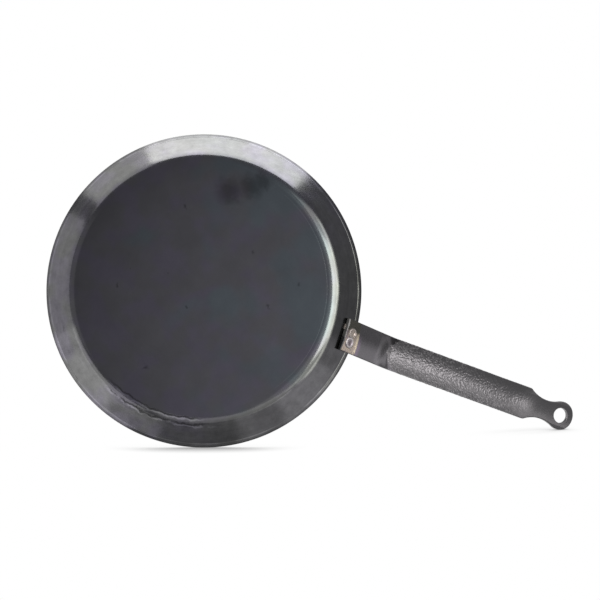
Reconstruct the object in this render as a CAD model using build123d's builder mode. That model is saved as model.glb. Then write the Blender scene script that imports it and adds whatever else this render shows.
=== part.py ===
from build123d import *
from math import asin, atan2, cos, degrees, hypot, radians, sin, sqrt, tan
import os

# A 24 cm crepe pan of pressed blued steel. It lies on its base, mouth up, with the middle of
# the base's underside at the origin. The handle runs out along +X.

# Driving sizes of the pan, in millimetres and degrees
rim_diameter = 240
wall_spread = 26
pan_height = 21
steel = 2
corner_radius = 14
lip_width = 2.5
lip_flare = 7
rim_edge_chamfer = 0.5

# Driving sizes of the handle strip
strip_width = 25
strip_thickness = 3.5
flange_length = 13.5
root_length = 41.5
grip_rise = 22.3
knee_radius = 25
ring_distance = 158.3
ring_diameter = 22.2
hang_hole_diameter = 12.4
neck_width = 15.3
neck_radius = 28
shoulder_radius = 1
arch_rise = 2.6
arch_onset = 12
arch_fade = 34
blend_lead = 8
strip_edge_chamfer = 0.4

# Driving sizes of the grip's coating, the spot welds and the tack weld
coat_thickness = 0.25
coat_lead = 5
weld_diameter = 7.2
weld_pitch = 7.4
weld_inset = 6.4
weld_shift = 1
weld_depth = 0.8
weld_ring_rise = 0.25
weld_ring_diameter = 5.6
weld_dish_depth = 0.35
weld_dish_diameter = 3.2
tack_leg = 1.8
tack_length = 5
tack_end_slope = 35
tack_offset = 5.6

# Hidden overrun of every cut past the face that it leaves
overrun = 2

# How far the arch has come in at each step from flat to full
ease_shares = (0, 0.12, 0.5, 0.88, 1)
arch_share = 0.5
bend_shares = (1 / 2, 1)
lead_shares = (0, 1 / 2, 1)

# A face this square to the grip belongs to the stamped outline
square_share = 0.02

# A coat of even thickness widens a chamfer by this share of the coat
chamfer_growth_share = 2 - sqrt(2)

# Rounds in which the wall's slope and the lip's slope settle on each other
settle_rounds = 12

# The pan's outside outline: a flat base, a round corner, a straight wall and a flared lip
base_radius = rim_diameter / 2 - wall_spread
lip_crease = rim_diameter / 2 - lip_width


def wall_from(lip_angle):
    """The wall's slope in degrees, the lip's crease and the sharp rim, for a lip at lip_angle."""
    # The chamfer takes this much off the sharp corner, outwards and upwards alike
    cut_back = rim_edge_chamfer * min(cos(lip_angle), sin(lip_angle))
    rim = (rim_diameter / 2 + cut_back, pan_height + cut_back - steel * cos(lip_angle))
    crease_height = rim[1] - (rim[0] - lip_crease) * tan(lip_angle)
    run = lip_crease - base_radius
    rise = crease_height - corner_radius
    slope = degrees(atan2(rise, run) + asin(corner_radius / hypot(run, rise)))
    return slope, crease_height, rim


# The lip lies lip_flare flatter than the wall, so the two slopes are settled together
wall_slope = degrees(atan2(pan_height, lip_crease - base_radius))
for settle in range(settle_rounds):
    wall_slope, crease_height, (rim_radius, rim_height) = wall_from(radians(wall_slope - lip_flare))

# Frames along the strip: the flange lies on the wall, the root goes on up the wall's slope
wall_direction = Vector(cos(radians(wall_slope)), 0, sin(radians(wall_slope)))
wall_normal = Vector(sin(radians(wall_slope)), 0, -cos(radians(wall_slope)))
grip_direction = Vector(cos(radians(grip_rise)), 0, sin(radians(grip_rise)))
grip_normal = Vector(-sin(radians(grip_rise)), 0, cos(radians(grip_rise)))

# The flat flange is let into the round wall just far enough to bear over its whole width
wall_curve_radius = (rim_radius - weld_inset * cos(radians(wall_slope))) / sin(radians(wall_slope))
seat_depth = wall_curve_radius - sqrt(wall_curve_radius**2 - (strip_width / 2) ** 2)
rim_point = Vector(rim_radius, 0, rim_height)
strip_middle = rim_point + wall_normal * (strip_thickness / 2 - seat_depth)
knee_point = strip_middle + wall_direction * root_length
ring_centre = knee_point + grip_direction * ring_distance

knee_turn = wall_slope - grip_rise
knee_tangent = knee_radius * tan(radians(knee_turn / 2))
knee_start = knee_point - wall_direction * knee_tangent
knee_end = knee_point + grip_direction * knee_tangent
knee_centre = knee_start + wall_normal * knee_radius

# The ring and the middle of the waisted neck, measured along the grip from the knee
ring_radius = ring_diameter / 2
neck_middle = ring_distance - sqrt(
    (ring_radius + neck_radius) ** 2 - (neck_width / 2 + neck_radius) ** 2
)


def arch_section(station, rise, thickness):
    """One cross-section of the strip, arched upwards by rise over the strip's width."""
    half = strip_width / 2
    side = half + overrun
    with BuildSketch(station) as section:
        with BuildLine():
            if rise == 0:
                Polyline(
                    (-side, -thickness / 2),
                    (side, -thickness / 2),
                    (side, thickness / 2),
                    (-side, thickness / 2),
                    close=True,
                )
            else:
                bow = (half**2 + rise**2) / (2 * rise)
                inner = bow - thickness / 2
                outer = bow + thickness / 2
                inner_edge = rise - bow + sqrt(inner**2 - side**2)
                outer_edge = rise - bow + sqrt(outer**2 - side**2)
                inside = ThreePointArc((-side, inner_edge), (0, rise - thickness / 2), (side, inner_edge))
                right = Line(inside @ 1, (side, outer_edge))
                outside = ThreePointArc(right @ 1, (0, rise + thickness / 2), (-side, outer_edge))
                Line(outside @ 1, inside @ 0)
        make_face()
    return section.sketch


def across(origin, direction):
    """The plane across the strip at origin, with its own y upwards from the strip."""
    return Plane(origin=origin, x_dir=(0, 1, 0), z_dir=direction)


def knee_station(share):
    """The plane across the strip at a share of the way round the knee."""
    slope = radians(wall_slope - knee_turn * share)
    direction = Vector(cos(slope), 0, sin(slope))
    outward = Vector(-sin(slope), 0, cos(slope))
    return across(knee_centre + outward * knee_radius, direction)


def formed_strip(skin):
    """The handle's strip, grown all round by skin: flange, root, knee, arched grip, neck and ring."""
    thickness = strip_thickness + 2 * skin
    arch_end = knee_end + grip_direction * arch_onset
    fade_end = knee_point + grip_direction * neck_middle
    fade_start = fade_end - grip_direction * arch_fade
    with BuildPart() as strip:
        # Flat flange and root
        with BuildSketch(across(strip_middle - wall_direction * flange_length, wall_direction)):
            Rectangle(strip_width + 2 * overrun, thickness)
        extrude(amount=flange_length + root_length - knee_tangent - blend_lead)
        # Knee, where the arch begins, and the rest of its onset
        onset = []
        for share in lead_shares:
            station = across(knee_start - wall_direction * blend_lead * (1 - share), wall_direction)
            onset.append(arch_section(station, 0, thickness))
        for share in bend_shares:
            rise = arch_rise * arch_share * share**2
            onset.append(arch_section(knee_station(share), rise, thickness))
        for share in bend_shares:
            station = across(knee_end + grip_direction * arch_onset * share, grip_direction)
            rise = arch_rise * (1 - (1 - arch_share) * (1 - share) ** 2)
            onset.append(arch_section(station, rise, thickness))
        for share in lead_shares[1:]:
            station = across(arch_end + grip_direction * blend_lead * share, grip_direction)
            onset.append(arch_section(station, arch_rise, thickness))
        loft(onset)
        # The grip, with its full arch
        full_start = arch_end + grip_direction * blend_lead
        full = arch_section(across(full_start, grip_direction), arch_rise, thickness)
        extrude(full, amount=(fade_start - full_start).length)
        # The arch fades out towards the neck
        fade = []
        for step, ease in enumerate(ease_shares):
            along = arch_fade * step / (len(ease_shares) - 1)
            station = across(fade_start + grip_direction * along, grip_direction)
            fade.append(arch_section(station, arch_rise * (1 - ease), thickness))
        loft(fade)
        # Flat neck and ring
        with BuildSketch(across(fade_end, grip_direction)):
            Rectangle(strip_width + 2 * overrun, thickness)
        extrude(amount=ring_distance - neck_middle + ring_radius + overrun)
        # The blank's outline, stamped square to the grip
        with BuildSketch(Plane(origin=knee_point, x_dir=grip_direction, z_dir=grip_normal)) as blank:
            with BuildLine():
                half = strip_width / 2 + skin
                waist = neck_width / 2 + skin
                curve = neck_radius - skin
                shoulder_place = neck_middle - sqrt(curve**2 - (curve + waist - half) ** 2)
                start = -(root_length + flange_length) - overrun
                # The neck's curve meets the ring's on the line between their centres
                joint_share = (ring_radius + skin) / (ring_radius + neck_radius)
                joint = (
                    ring_distance - (ring_distance - neck_middle) * joint_share,
                    (neck_width / 2 + neck_radius) * joint_share,
                )
                edge = Line((start, half), (shoulder_place, half))
                RadiusArc(edge @ 1, joint, -curve)
                ring_end = (ring_distance + ring_radius + skin, 0)
                round_end = ThreePointArc(joint, ring_end, (joint[0], -joint[1]))
                RadiusArc(round_end @ 1, (shoulder_place, -half), -curve)
                Polyline((shoulder_place, -half), (start, -half), edge @ 0)
            make_face()
            for side in (-half, half):
                shoulder = blank.vertices().sort_by_distance((shoulder_place, side))[0]
                fillet(shoulder, radius=shoulder_radius + skin)
            with Locations((ring_distance, 0)):
                Circle(hang_hole_diameter / 2 + coat_thickness - skin, mode=Mode.SUBTRACT)
        extrude(amount=strip_width, both=True, mode=Mode.INTERSECT)
        # The stamped edges are broken all round
        stamped = strip.faces().filter_by(lambda face: abs(face.normal_at().dot(grip_normal)) < square_share)
        edges = stamped.edges().filter_by(Axis(knee_point, grip_normal), reverse=True)
        chamfer(edges, length=strip_edge_chamfer + skin * chamfer_growth_share)
    return strip.part


# The welds' places on the flange's outer face, seen along the wall's normal
flange_face = Plane(
    origin=rim_point + wall_normal * (strip_thickness - seat_depth),
    x_dir=wall_direction,
    z_dir=wall_normal,
)
weld_places = [(-weld_inset, side * weld_pitch / 2 - weld_shift) for side in (-1, 1)]
weld_reach = strip_thickness - seat_depth + weld_depth

with BuildPart() as pan_body:
    with BuildSketch(Plane.XZ) as profile:
        with BuildLine():
            base = Line((0, 0), (base_radius, 0))
            corner = JernArc(base @ 1, base % 1, corner_radius, wall_slope)
            wall = Line(corner @ 1, (lip_crease, crease_height))
            Line(wall @ 1, (rim_radius, rim_height))
            offset(amount=steel, side=Side.LEFT, kind=Kind.INTERSECTION)
        make_face()
        chamfer(profile.vertices().sort_by(Axis.X)[-2:], length=rim_edge_chamfer)
    revolve(axis=Axis.Z)
    # Seats of the two weld nuggets, part way into the wall
    with BuildSketch(flange_face.offset(-weld_reach)):
        with Locations(weld_places):
            Circle(weld_diameter / 2)
    extrude(amount=weld_reach, mode=Mode.SUBTRACT)

with BuildPart() as handle_strip:
    add(formed_strip(0))
    # The flange's inner face takes the form of the wall and the lip that it bears on
    add(pan_body.part, mode=Mode.SUBTRACT)
    with BuildSketch(flange_face.offset(overrun)):
        with Locations(weld_places):
            Circle(weld_diameter / 2)
    extrude(amount=-(weld_reach + overrun), mode=Mode.SUBTRACT)

with BuildPart() as grip_coating:
    add(formed_strip(coat_thickness))
    split(bisect_by=across(knee_point - wall_direction * coat_lead, wall_direction), keep=Keep.TOP)
    add(handle_strip.part, mode=Mode.SUBTRACT)

with BuildPart() as spot_welds:
    for along, sideways in weld_places:
        middle = flange_face.from_local_coords((along, sideways, 0))
        with BuildSketch(Plane(origin=middle, x_dir=wall_direction, z_dir=(0, 1, 0))):
            with BuildLine():
                Polyline(
                    (0, -weld_dish_depth),
                    (0, -weld_reach),
                    (weld_diameter / 2, -weld_reach),
                    (weld_diameter / 2, 0),
                    (weld_ring_diameter / 2, weld_ring_rise),
                    (weld_dish_diameter / 2, -weld_dish_depth),
                    close=True,
                )
            make_face()
        revolve(axis=Axis(middle, wall_normal))

with BuildPart() as tack_weld:
    # A short bead with sloping ends, in the corner between the wall and the flange's end
    corner = rim_point - wall_direction * flange_length - Vector(0, tack_offset, 0)
    with BuildSketch(Plane(origin=corner, x_dir=-wall_direction, z_dir=(0, -1, 0))):
        with BuildLine():
            Polyline((0, -seat_depth), (tack_leg, -seat_depth), (0, tack_leg), close=True)
        make_face()
    extrude(amount=tack_length / 2, both=True)
    for side in (-1, 1):
        lean = (wall_normal - wall_direction).normalized() * sin(radians(tack_end_slope))
        end_normal = Vector(0, side * cos(radians(tack_end_slope)), 0) + lean
        end = Plane(origin=corner + Vector(0, side * tack_length / 2, 0), z_dir=end_normal)
        split(bisect_by=end, keep=Keep.BOTTOM)
    add(pan_body.part, mode=Mode.SUBTRACT)

os.makedirs("parts", exist_ok=True)
pieces = {
    "pan_body": pan_body,
    "handle_strip": handle_strip,
    "grip_coating": grip_coating,
    "spot_welds": spot_welds,
    "tack_weld": tack_weld,
}
for name, piece in pieces.items():
    piece.part.label = name
    export_step(piece.part, f"parts/{name}.step")

print(f"wall slope {wall_slope:.2f} degrees, seat depth {seat_depth:.3f} mm")
print(f"ring centre {ring_centre}, grip rise {grip_rise} degrees")
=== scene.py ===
"""A blued steel crepe pan for the studio: pressed pan, formed strip handle, pebbled grip and welds."""

import logging
import math
from dataclasses import dataclass
from enum import Enum
from typing import Optional, Sequence, Union

import bmesh
import bpy
import numpy as np
from mathutils import Matrix, Vector


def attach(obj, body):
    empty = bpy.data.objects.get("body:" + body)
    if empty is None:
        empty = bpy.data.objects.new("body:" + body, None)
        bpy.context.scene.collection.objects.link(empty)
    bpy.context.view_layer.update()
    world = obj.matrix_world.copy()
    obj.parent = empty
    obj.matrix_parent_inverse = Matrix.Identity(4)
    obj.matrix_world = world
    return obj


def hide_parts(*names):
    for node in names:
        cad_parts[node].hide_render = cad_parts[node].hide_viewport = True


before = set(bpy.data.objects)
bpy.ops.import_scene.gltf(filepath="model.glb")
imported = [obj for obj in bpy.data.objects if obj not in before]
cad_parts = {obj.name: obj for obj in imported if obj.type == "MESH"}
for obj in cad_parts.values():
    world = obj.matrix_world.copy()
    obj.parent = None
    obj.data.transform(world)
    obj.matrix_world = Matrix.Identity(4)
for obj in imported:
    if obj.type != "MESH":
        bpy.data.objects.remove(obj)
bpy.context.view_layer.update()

log = logging.getLogger("crepe_pan")

# Every size below is in millimetres and every angle in degrees, unless its name says otherwise
MM = 0.001
BODY = "root"

Number = Union[int, float]
Operand = Union["Field", int, float]
Key = Union[str, int]
Array = np.ndarray
Colour = tuple[float, float, float]
Place = tuple[float, float, float]
# Two ends between which something comes in: where it is 0, and where it is whole
Span = tuple[float, float]


class Slot(Enum):
    """The record's material slots, named as the finishes are."""

    BLUED_STEEL = "blued_steel"
    HANDLE_STEEL = "handle_steel"
    GRIP_EPOXY = "grip_epoxy"
    WELD_STEEL = "weld_steel"


class Subject(Enum):
    """What a panel of the studio lights. Flags keep its light off the rest."""

    PAN = "lit_pan"
    HANDLE = "lit_handle"


class Tint(Enum):
    """The colours of the studio's light."""

    PLAIN = (0.975, 0.985, 0.885)
    WARM = (0.985, 1.0, 0.87)
    LEAFY = (0.97, 1.0, 0.83)
    MELLOW = (1.0, 0.975, 0.985)


class Field:
    """A node socket that takes part in sums: each operator adds one Math node to its tree."""

    def __init__(self, tree: bpy.types.NodeTree, socket: bpy.types.NodeSocket) -> None:
        """Wrap one output socket of a node tree."""
        self.tree = tree
        self.socket = socket

    def math(self, operation: str, *others: Operand, first: Optional[Number] = None) -> "Field":
        """Add a Math node.

        Args:
            operation: Blender's name of the operation.
            others: The other operands, fields or numbers.
            first: A number that comes before this field, for the reflected forms.

        Returns:
            The result as a field.
        """
        node = self.tree.nodes.new("ShaderNodeMath")
        node.operation = operation
        operands = [self, *others] if first is None else [first, self]
        for place, operand in enumerate(operands):
            if isinstance(operand, Field):
                self.tree.links.new(operand.socket, node.inputs[place])
            else:
                node.inputs[place].default_value = operand
        return Field(self.tree, node.outputs[0])

    def __add__(self, other: Operand) -> "Field":
        """This field plus other."""
        return self.math("ADD", other)

    def __radd__(self, other: Number) -> "Field":
        """other plus this field."""
        return self.math("ADD", first=other)

    def __sub__(self, other: Operand) -> "Field":
        """This field less other."""
        return self.math("SUBTRACT", other)

    def __rsub__(self, other: Number) -> "Field":
        """other less this field."""
        return self.math("SUBTRACT", first=other)

    def __mul__(self, other: Operand) -> "Field":
        """This field times other."""
        return self.math("MULTIPLY", other)

    def __rmul__(self, other: Number) -> "Field":
        """other times this field."""
        return self.math("MULTIPLY", first=other)

    def __truediv__(self, other: Operand) -> "Field":
        """This field over other."""
        return self.math("DIVIDE", other)

    def __rtruediv__(self, other: Number) -> "Field":
        """other over this field."""
        return self.math("DIVIDE", first=other)

    def __abs__(self) -> "Field":
        """This field without its sign."""
        return self.math("ABSOLUTE")

    def root(self) -> "Field":
        """The square root of this field."""
        return self.math("SQRT")

    def at_most(self, other: Operand) -> "Field":
        """The lesser of this field and other."""
        return self.math("MINIMUM", other)

    def at_least(self, other: Operand) -> "Field":
        """The greater of this field and other."""
        return self.math("MAXIMUM", other)

    def eased(self, start: Number, end: Number) -> "Field":
        """A smooth step, up or down.

        Args:
            start: What this field is where the step is 0.
            end: What this field is where the step is 1.

        Returns:
            The step as a field.
        """
        node = self.tree.nodes.new("ShaderNodeMapRange")
        node.interpolation_type = "SMOOTHSTEP"
        self.tree.links.new(self.socket, node.inputs["Value"])
        low, high = (0.0, 1.0) if start < end else (1.0, 0.0)
        node.inputs["From Min"].default_value = min(start, end)
        node.inputs["From Max"].default_value = max(start, end)
        node.inputs["To Min"].default_value = low
        node.inputs["To Max"].default_value = high
        return Field(self.tree, node.outputs["Result"])


Value = Union[Operand, Sequence[Number], bpy.types.Material, bool]
Settings = Optional[dict[str, object]]
Values = Optional[dict[Key, Value]]


class Tree:
    """A node tree that is built from Python, for a shader or for a modifier."""

    def __init__(self, tree: bpy.types.NodeTree) -> None:
        """Start with an empty tree."""
        self.tree = tree
        tree.nodes.clear()

    def node(self, kind: str, settings: Settings = None, values: Values = None) -> bpy.types.Node:
        """Add one node.

        Args:
            kind: Blender's type of the node.
            settings: What is set on the node itself, before its sockets.
            values: Numbers, colours or fields for its inputs, by name or place.

        Returns:
            The node.
        """
        node = self.tree.nodes.new(kind)
        for name, setting in (settings or {}).items():
            setattr(node, name, setting)
        for name, value in (values or {}).items():
            if isinstance(value, Field):
                self.tree.links.new(value.socket, node.inputs[name])
            else:
                node.inputs[name].default_value = value
        return node

    def field(self, kind: str, output: Key, settings: Settings = None, values: Values = None) -> Field:
        """Add one node and give back one of its outputs as a field."""
        return Field(self.tree, self.node(kind, settings, values).outputs[output])

    def vector(self, x: Value, y: Value, z: Value) -> Field:
        """A vector put together from three numbers."""
        return self.field("ShaderNodeCombineXYZ", 0, values={"X": x, "Y": y, "Z": z})

    def parts(self, vector: Field) -> tuple[Field, Field, Field]:
        """The three numbers of a vector."""
        node = self.node("ShaderNodeSeparateXYZ", values={0: vector})
        return tuple(Field(self.tree, output) for output in node.outputs)

    def scaled(self, vector: Field, factor: Value) -> Field:
        """A vector times a number."""
        return self.field("ShaderNodeVectorMath", 0, {"operation": "SCALE"}, {0: vector, "Scale": factor})

    def noise(self, vector: Field, scale: Number, detail: Number, roughness: Number, w: Operand) -> Field:
        """Noise from 0 to 1.

        Args:
            vector: Where it is looked up.
            scale: How fine it is.
            detail: How many finer layers it has.
            roughness: How strong those are.
            w: Its seed.

        Returns:
            The noise as a field.
        """
        settings = {"noise_dimensions": "4D"}
        values = {"Vector": vector, "Scale": scale, "Detail": detail, "Roughness": roughness, "W": w}
        return self.field("ShaderNodeTexNoise", 0, settings, values)


class Finish(Tree):
    """One material of the object, made from nodes."""

    def __init__(self, name: str) -> None:
        """Start a material with nothing in it but its shader and its output.

        Args:
            name: The material's name.
        """
        self.material = bpy.data.materials.new(name)
        self.material.use_nodes = True
        super().__init__(self.material.node_tree)
        self.shader = self.node("ShaderNodeBsdfPrincipled")
        out = self.node("ShaderNodeOutputMaterial")
        self.tree.links.new(self.shader.outputs[0], out.inputs["Surface"])

    def place(self) -> Field:
        """The place on the piece in millimetres."""
        coordinates = self.field("ShaderNodeTexCoord", "Object")
        return self.scaled(coordinates, 1 / MM)

    def chart(self, name: str) -> tuple[Field, Field, Field]:
        """What one of the piece's own maps holds, in millimetres."""
        return self.parts(self.scaled(self.field("ShaderNodeUVMap", 0, {"uv_map": name}), 1 / MM))

    def mix(self, factor: Value, first: Value, second: Value) -> Field:
        """Mix two colours.

        Args:
            factor: How much of the second there is, from 0 to 1.
            first: The first colour.
            second: The second colour.

        Returns:
            The colour as a field.
        """
        node = self.node("ShaderNodeMix", {"data_type": "RGBA", "clamp_factor": True})
        wanted = {"Factor_Float": factor, "A_Color": first, "B_Color": second}
        for socket in node.inputs:
            value = wanted.get(socket.identifier)
            if isinstance(value, Field):
                self.tree.links.new(value.socket, socket)
            elif value is not None:
                socket.default_value = value if socket.type == "VALUE" else (*value, 1.0)
        result = next(socket for socket in node.outputs if socket.identifier == "Result_Color")
        return Field(self.tree, result)

    def bump(self, height: Field, depth: Number, strength: Number) -> Field:
        """A normal from a height between 0 and 1, that stands for this many millimetres."""
        values = {"Height": height, "Distance": depth * MM, "Strength": strength}
        return self.field("ShaderNodeBump", 0, values=values)

    def set(self, **values: Value) -> None:
        """Give the shader's sockets their values; an underscore in a name stands for a space."""
        for name, value in values.items():
            socket = self.shader.inputs[name.replace("_", " ")]
            if isinstance(value, Field):
                self.tree.links.new(value.socket, socket)
            else:
                socket.default_value = value

    def sphere_mask(self, place: Field, middle: Sequence[Number], inner: Number, outer: Number) -> Field:
        """1 about a middle, falling smoothly to 0.

        Args:
            place: The place on the piece.
            middle: The middle in millimetres.
            inner: How far from it the mask is 1.
            outer: How far from it the mask is 0.

        Returns:
            The mask as a field.
        """
        settings = {"operation": "DISTANCE"}
        distance = self.field("ShaderNodeVectorMath", "Value", settings, {0: place, 1: tuple(middle)})
        return distance.eased(outer, inner)


@dataclass(frozen=True)
class BluedSteel:
    """Oven-blued sheet steel: slate with violet and teal patches, circular grain, stains and specks, a
    painted reflection gradient on the base, and painted shade and highlights on the corner, the crease and
    the rim.
    """

    form: "PanForm"
    slate: Colour = (0.0430, 0.0425, 0.0480)
    violet: Colour = (0.0440, 0.0415, 0.0540)
    teal: Colour = (0.0390, 0.0450, 0.0520)
    ash: Colour = (0.0450, 0.0450, 0.0470)
    roughness: float = 0.17
    # The smudge's blobs near the base's edge: the place of each, and how far it reaches
    smudge: tuple[tuple[float, ...], ...] = (
        (-4.0, -75.0, 0.0, 15.0),
        (10.0, -84.0, 0.0, 14.0),
        (17.0, -90.0, 0.0, 11.0),
    )
    smudge_core: float = 2.0
    # Small stains where drops have dried: the place of each, and how far it reaches
    stains: tuple[tuple[float, ...], ...] = (
        (-62.4, 18.6, 0.0, 2.2),
        (27.1, -36.9, 0.0, 2.0),
        (-6.9, 18.8, 0.0, 1.4),
        (50.6, -1.5, 0.0, 2.2),
        (-22.9, 70.8, 0.0, 3.2),
        (-32.6, -54.3, 0.0, 2.0),
        (66.7, -25.1, 0.0, 2.0),
        (-90.6, 62.6, 10.2, 2.6),
    )
    # How far noise pushes the marks' outlines about
    mark_wander: float = 9.0
    # The ragged lines on the round corner: how far each is from the axis, and how far it wanders
    seam_rings: tuple[tuple[float, float], ...] = ((98.6, 5.0), (103.4, 7.0))
    seam_sides: Span = (86.0, 94.0)
    seam_starts: Span = (-42.0, -26.0)
    seam_ends: Span = (62.0, 44.0)
    painted_glint_shift: float = 1.5
    # Where looks come in: past the base's edge, past the rim, up from the base, and towards the handle
    wall_span: Span = (2.0, 9.0)
    lip_span: Span = (-4.5, -1.5)
    rim_shade_span: Span = (-1.5, -0.6)
    outside_span: Span = (1.6, 0.8)
    warm_span: Span = (20.0, 90.0)
    relief: float = 0.06

    def wall(self, radius: Field) -> Field:
        """1 on the wall, easing to 0 just past the base's edge."""
        return (radius - self.form.base_radius()).eased(*self.wall_span)

    def tone_and_painted_gradient(self, finish: Finish, place: Field, radius: Field) -> Field:
        """How light the oxide is painted: a painted reflection on the base, lightest on its handle side and
        darker towards its edge, and darker on the wall and at the lip.

        Args:
            finish: The material that it is part of.
            place: The place on the piece.
            radius: How far it is from the axis.

        Returns:
            The tone, which is about 1.
        """
        x, y, _ = finish.parts(place)
        wall = self.wall(radius)
        lip = (radius - self.form.rim_radius()).eased(*self.lip_span)
        share = radius / self.form.base_radius()
        # Painted reflection: the base is painted lighter towards the handle and darker towards its edge; the
        # cloud is the oxide's own uneven tone
        base = 1.27 + x * 0.0040 + y * 0.0006 - share * share * 0.14
        cloud = finish.noise(place, 0.045, 3.0, 0.55, w=9.4) - 0.5
        return (base * (1 - wall) + wall * 0.80 - lip * 0.02) * (1 + cloud * 0.35)

    def marks(self, finish: Finish, place: Field) -> Field:
        """The smudge, the stains and the fine specks.

        Args:
            finish: The material that they are part of.
            place: The place on the piece.

        Returns:
            0 where there is none, up to 1.
        """
        ragged = finish.noise(place, 0.25, 3.0, 0.6, w=2.6)
        push = finish.scaled(finish.vector(ragged, ragged, 0.0), self.mark_wander)
        warped = finish.field("ShaderNodeVectorMath", 0, {"operation": "ADD"}, {0: place, 1: push})
        # The noise is a half on average, so the middles move with it
        middle = self.mark_wander / 2
        smudge = None
        for x, y, z, reach in self.smudge:
            blob = finish.sphere_mask(warped, (x + middle, y + middle, z), self.smudge_core, reach)
            smudge = blob if smudge is None else smudge.at_least(blob)
        # The smudge shows on the outside only
        marks = smudge * 0.75 * finish.parts(place)[2].eased(*self.outside_span)
        for x, y, z, reach in self.stains:
            stain = finish.sphere_mask(warped, (x + middle, y + middle, z), 0.0, reach)
            marks = marks.at_least(stain * 0.8)
        cells = finish.node(
            "ShaderNodeTexVoronoi",
            {"voronoi_dimensions": "4D", "feature": "F1"},
            {"Vector": place, "W": 3.7, "Scale": 0.11, "Randomness": 1.0},
        )
        distance = Field(finish.tree, cells.outputs["Distance"])
        chance = finish.parts(Field(finish.tree, cells.outputs["Color"]))[0]
        specks = distance.eased(0.075, 0.03) * chance.eased(0.72, 0.78)
        return marks.at_least(specks * 0.7)

    def corner_lines(self, finish: Finish, place: Field, radius: Field, shift: Number, seed: Number) -> Field:
        """Ragged lines along the round corner on one side.

        Args:
            finish: The material that they are part of.
            place: The place on the piece.
            radius: How far it is from the axis.
            shift: How far out from the darkened lines these lie.
            seed: The seed of the gaps between them.

        Returns:
            1 on a line, falling to 0 beside it and in its gaps.
        """
        x, y, z = finish.parts(place)
        wander = finish.noise(place, 0.13, 4.0, 0.65, w=6.8) - 0.5
        side = (y - x * 0.2).eased(*self.seam_sides)
        ends = (x + y * 0.1).eased(*self.seam_starts) * x.eased(*self.seam_ends)
        lines = None
        for middle, reach in self.seam_rings:
            line = abs(radius - (middle + shift) - wander * reach).eased(1.0, 0.1)
            lines = line if lines is None else lines.at_least(line)
        broken = finish.noise(place, 0.11, 3.0, 0.6, w=seed).eased(0.34, 0.52)
        # On the outside only, which the round corner lifts by its own height
        corner = (radius - self.form.base_radius()).at_least(0.0)
        outside = (z - corner * corner * 0.04).eased(*self.outside_span)
        return lines * side * ends * broken * outside

    def make(self) -> bpy.types.Material:
        """Make the material.

        Returns:
            The material.
        """
        finish = Finish("blued_steel")
        place = finish.place()
        x, y, _ = finish.parts(place)
        radius = (x * x + y * y).root()
        wall = self.wall(radius)
        turn_x, turn_y = x / (radius + 1.0), y / (radius + 1.0)
        # Noise that is drawn out round the axis, finely and coarsely, and noise that isn't
        grain = finish.noise(finish.vector(radius * 1.7, turn_x * 2.6, turn_y * 2.6), 1.0, 4.0, 0.62, w=3.1)
        streak = finish.noise(finish.vector(radius * 0.42, turn_x * 1.7, turn_y * 1.7), 1.0, 3.0, 0.6, w=7.3)
        fine = finish.noise(place, 0.9, 4.0, 0.65, w=4.9)
        patches = finish.noise(place, 0.05, 3.0, 0.5, w=1.7)
        mottle = finish.noise(place, 0.16, 4.0, 0.62, w=8.8) - 0.5
        teal = (finish.noise(place, 0.028, 2.0, 0.5, w=5.2) + x * 0.0016 - y * 0.0009).eased(0.5, 0.68)
        warm = (x * 0.95 + y * 0.25).eased(*self.warm_span) * wall
        colour = finish.mix(patches.eased(0.42, 0.62), self.slate, self.violet)
        colour = finish.mix(teal * (1.0 - wall * 0.85), colour, self.teal)
        colour = finish.mix(warm * 0.9, colour, self.ash)
        corner_lines = self.corner_lines(finish, place, radius, 0.0, 1.3)
        painted_glints = self.corner_lines(finish, place, radius, self.painted_glint_shift, 6.1)
        marks = self.marks(finish, place)
        worn = (grain - 0.5) * (0.05 + wall * 0.17) + (streak - 0.5) * (0.03 + wall * 0.22)
        worn = worn + (fine - 0.5) * 0.16 + mottle * (0.06 + wall * 0.8)
        level = self.tone_and_painted_gradient(finish, place, radius) * (1.0 + worn) * (1.0 - marks * 0.58)
        # Painted shade along the corner's ragged creases, and painted glints beside them
        level = level * (1.0 - corner_lines * 0.6) * (1.0 + painted_glints * 0.9)
        # Painted highlight: the lip's crease is painted bright in places, and painted shade darkens the rim
        # beside it
        past = radius - self.form.rim_radius()
        crease = abs(past + self.form.lip_width).eased(0.8, 0.2) * patches.eased(0.38, 0.54)
        level = level * (1.0 + crease * 0.6) * (1.0 - past.eased(*self.rim_shade_span) * 0.3)
        rough = self.roughness + (grain - 0.5) * (0.03 + wall * 0.07) + (streak - 0.5) * wall * 0.08
        height = grain * (0.05 + wall * 0.2) + (streak * 0.2 + mottle * 0.8) * wall + fine * 0.08
        finish.set(
            Base_Color=finish.scaled(colour, level),
            Metallic=1.0,
            Roughness=rough + marks * 0.10 + corner_lines * 0.2,
            Normal=finish.bump(height - corner_lines * 0.9 - marks * 0.06, self.relief, 0.8),
        )
        return finish.material


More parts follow.
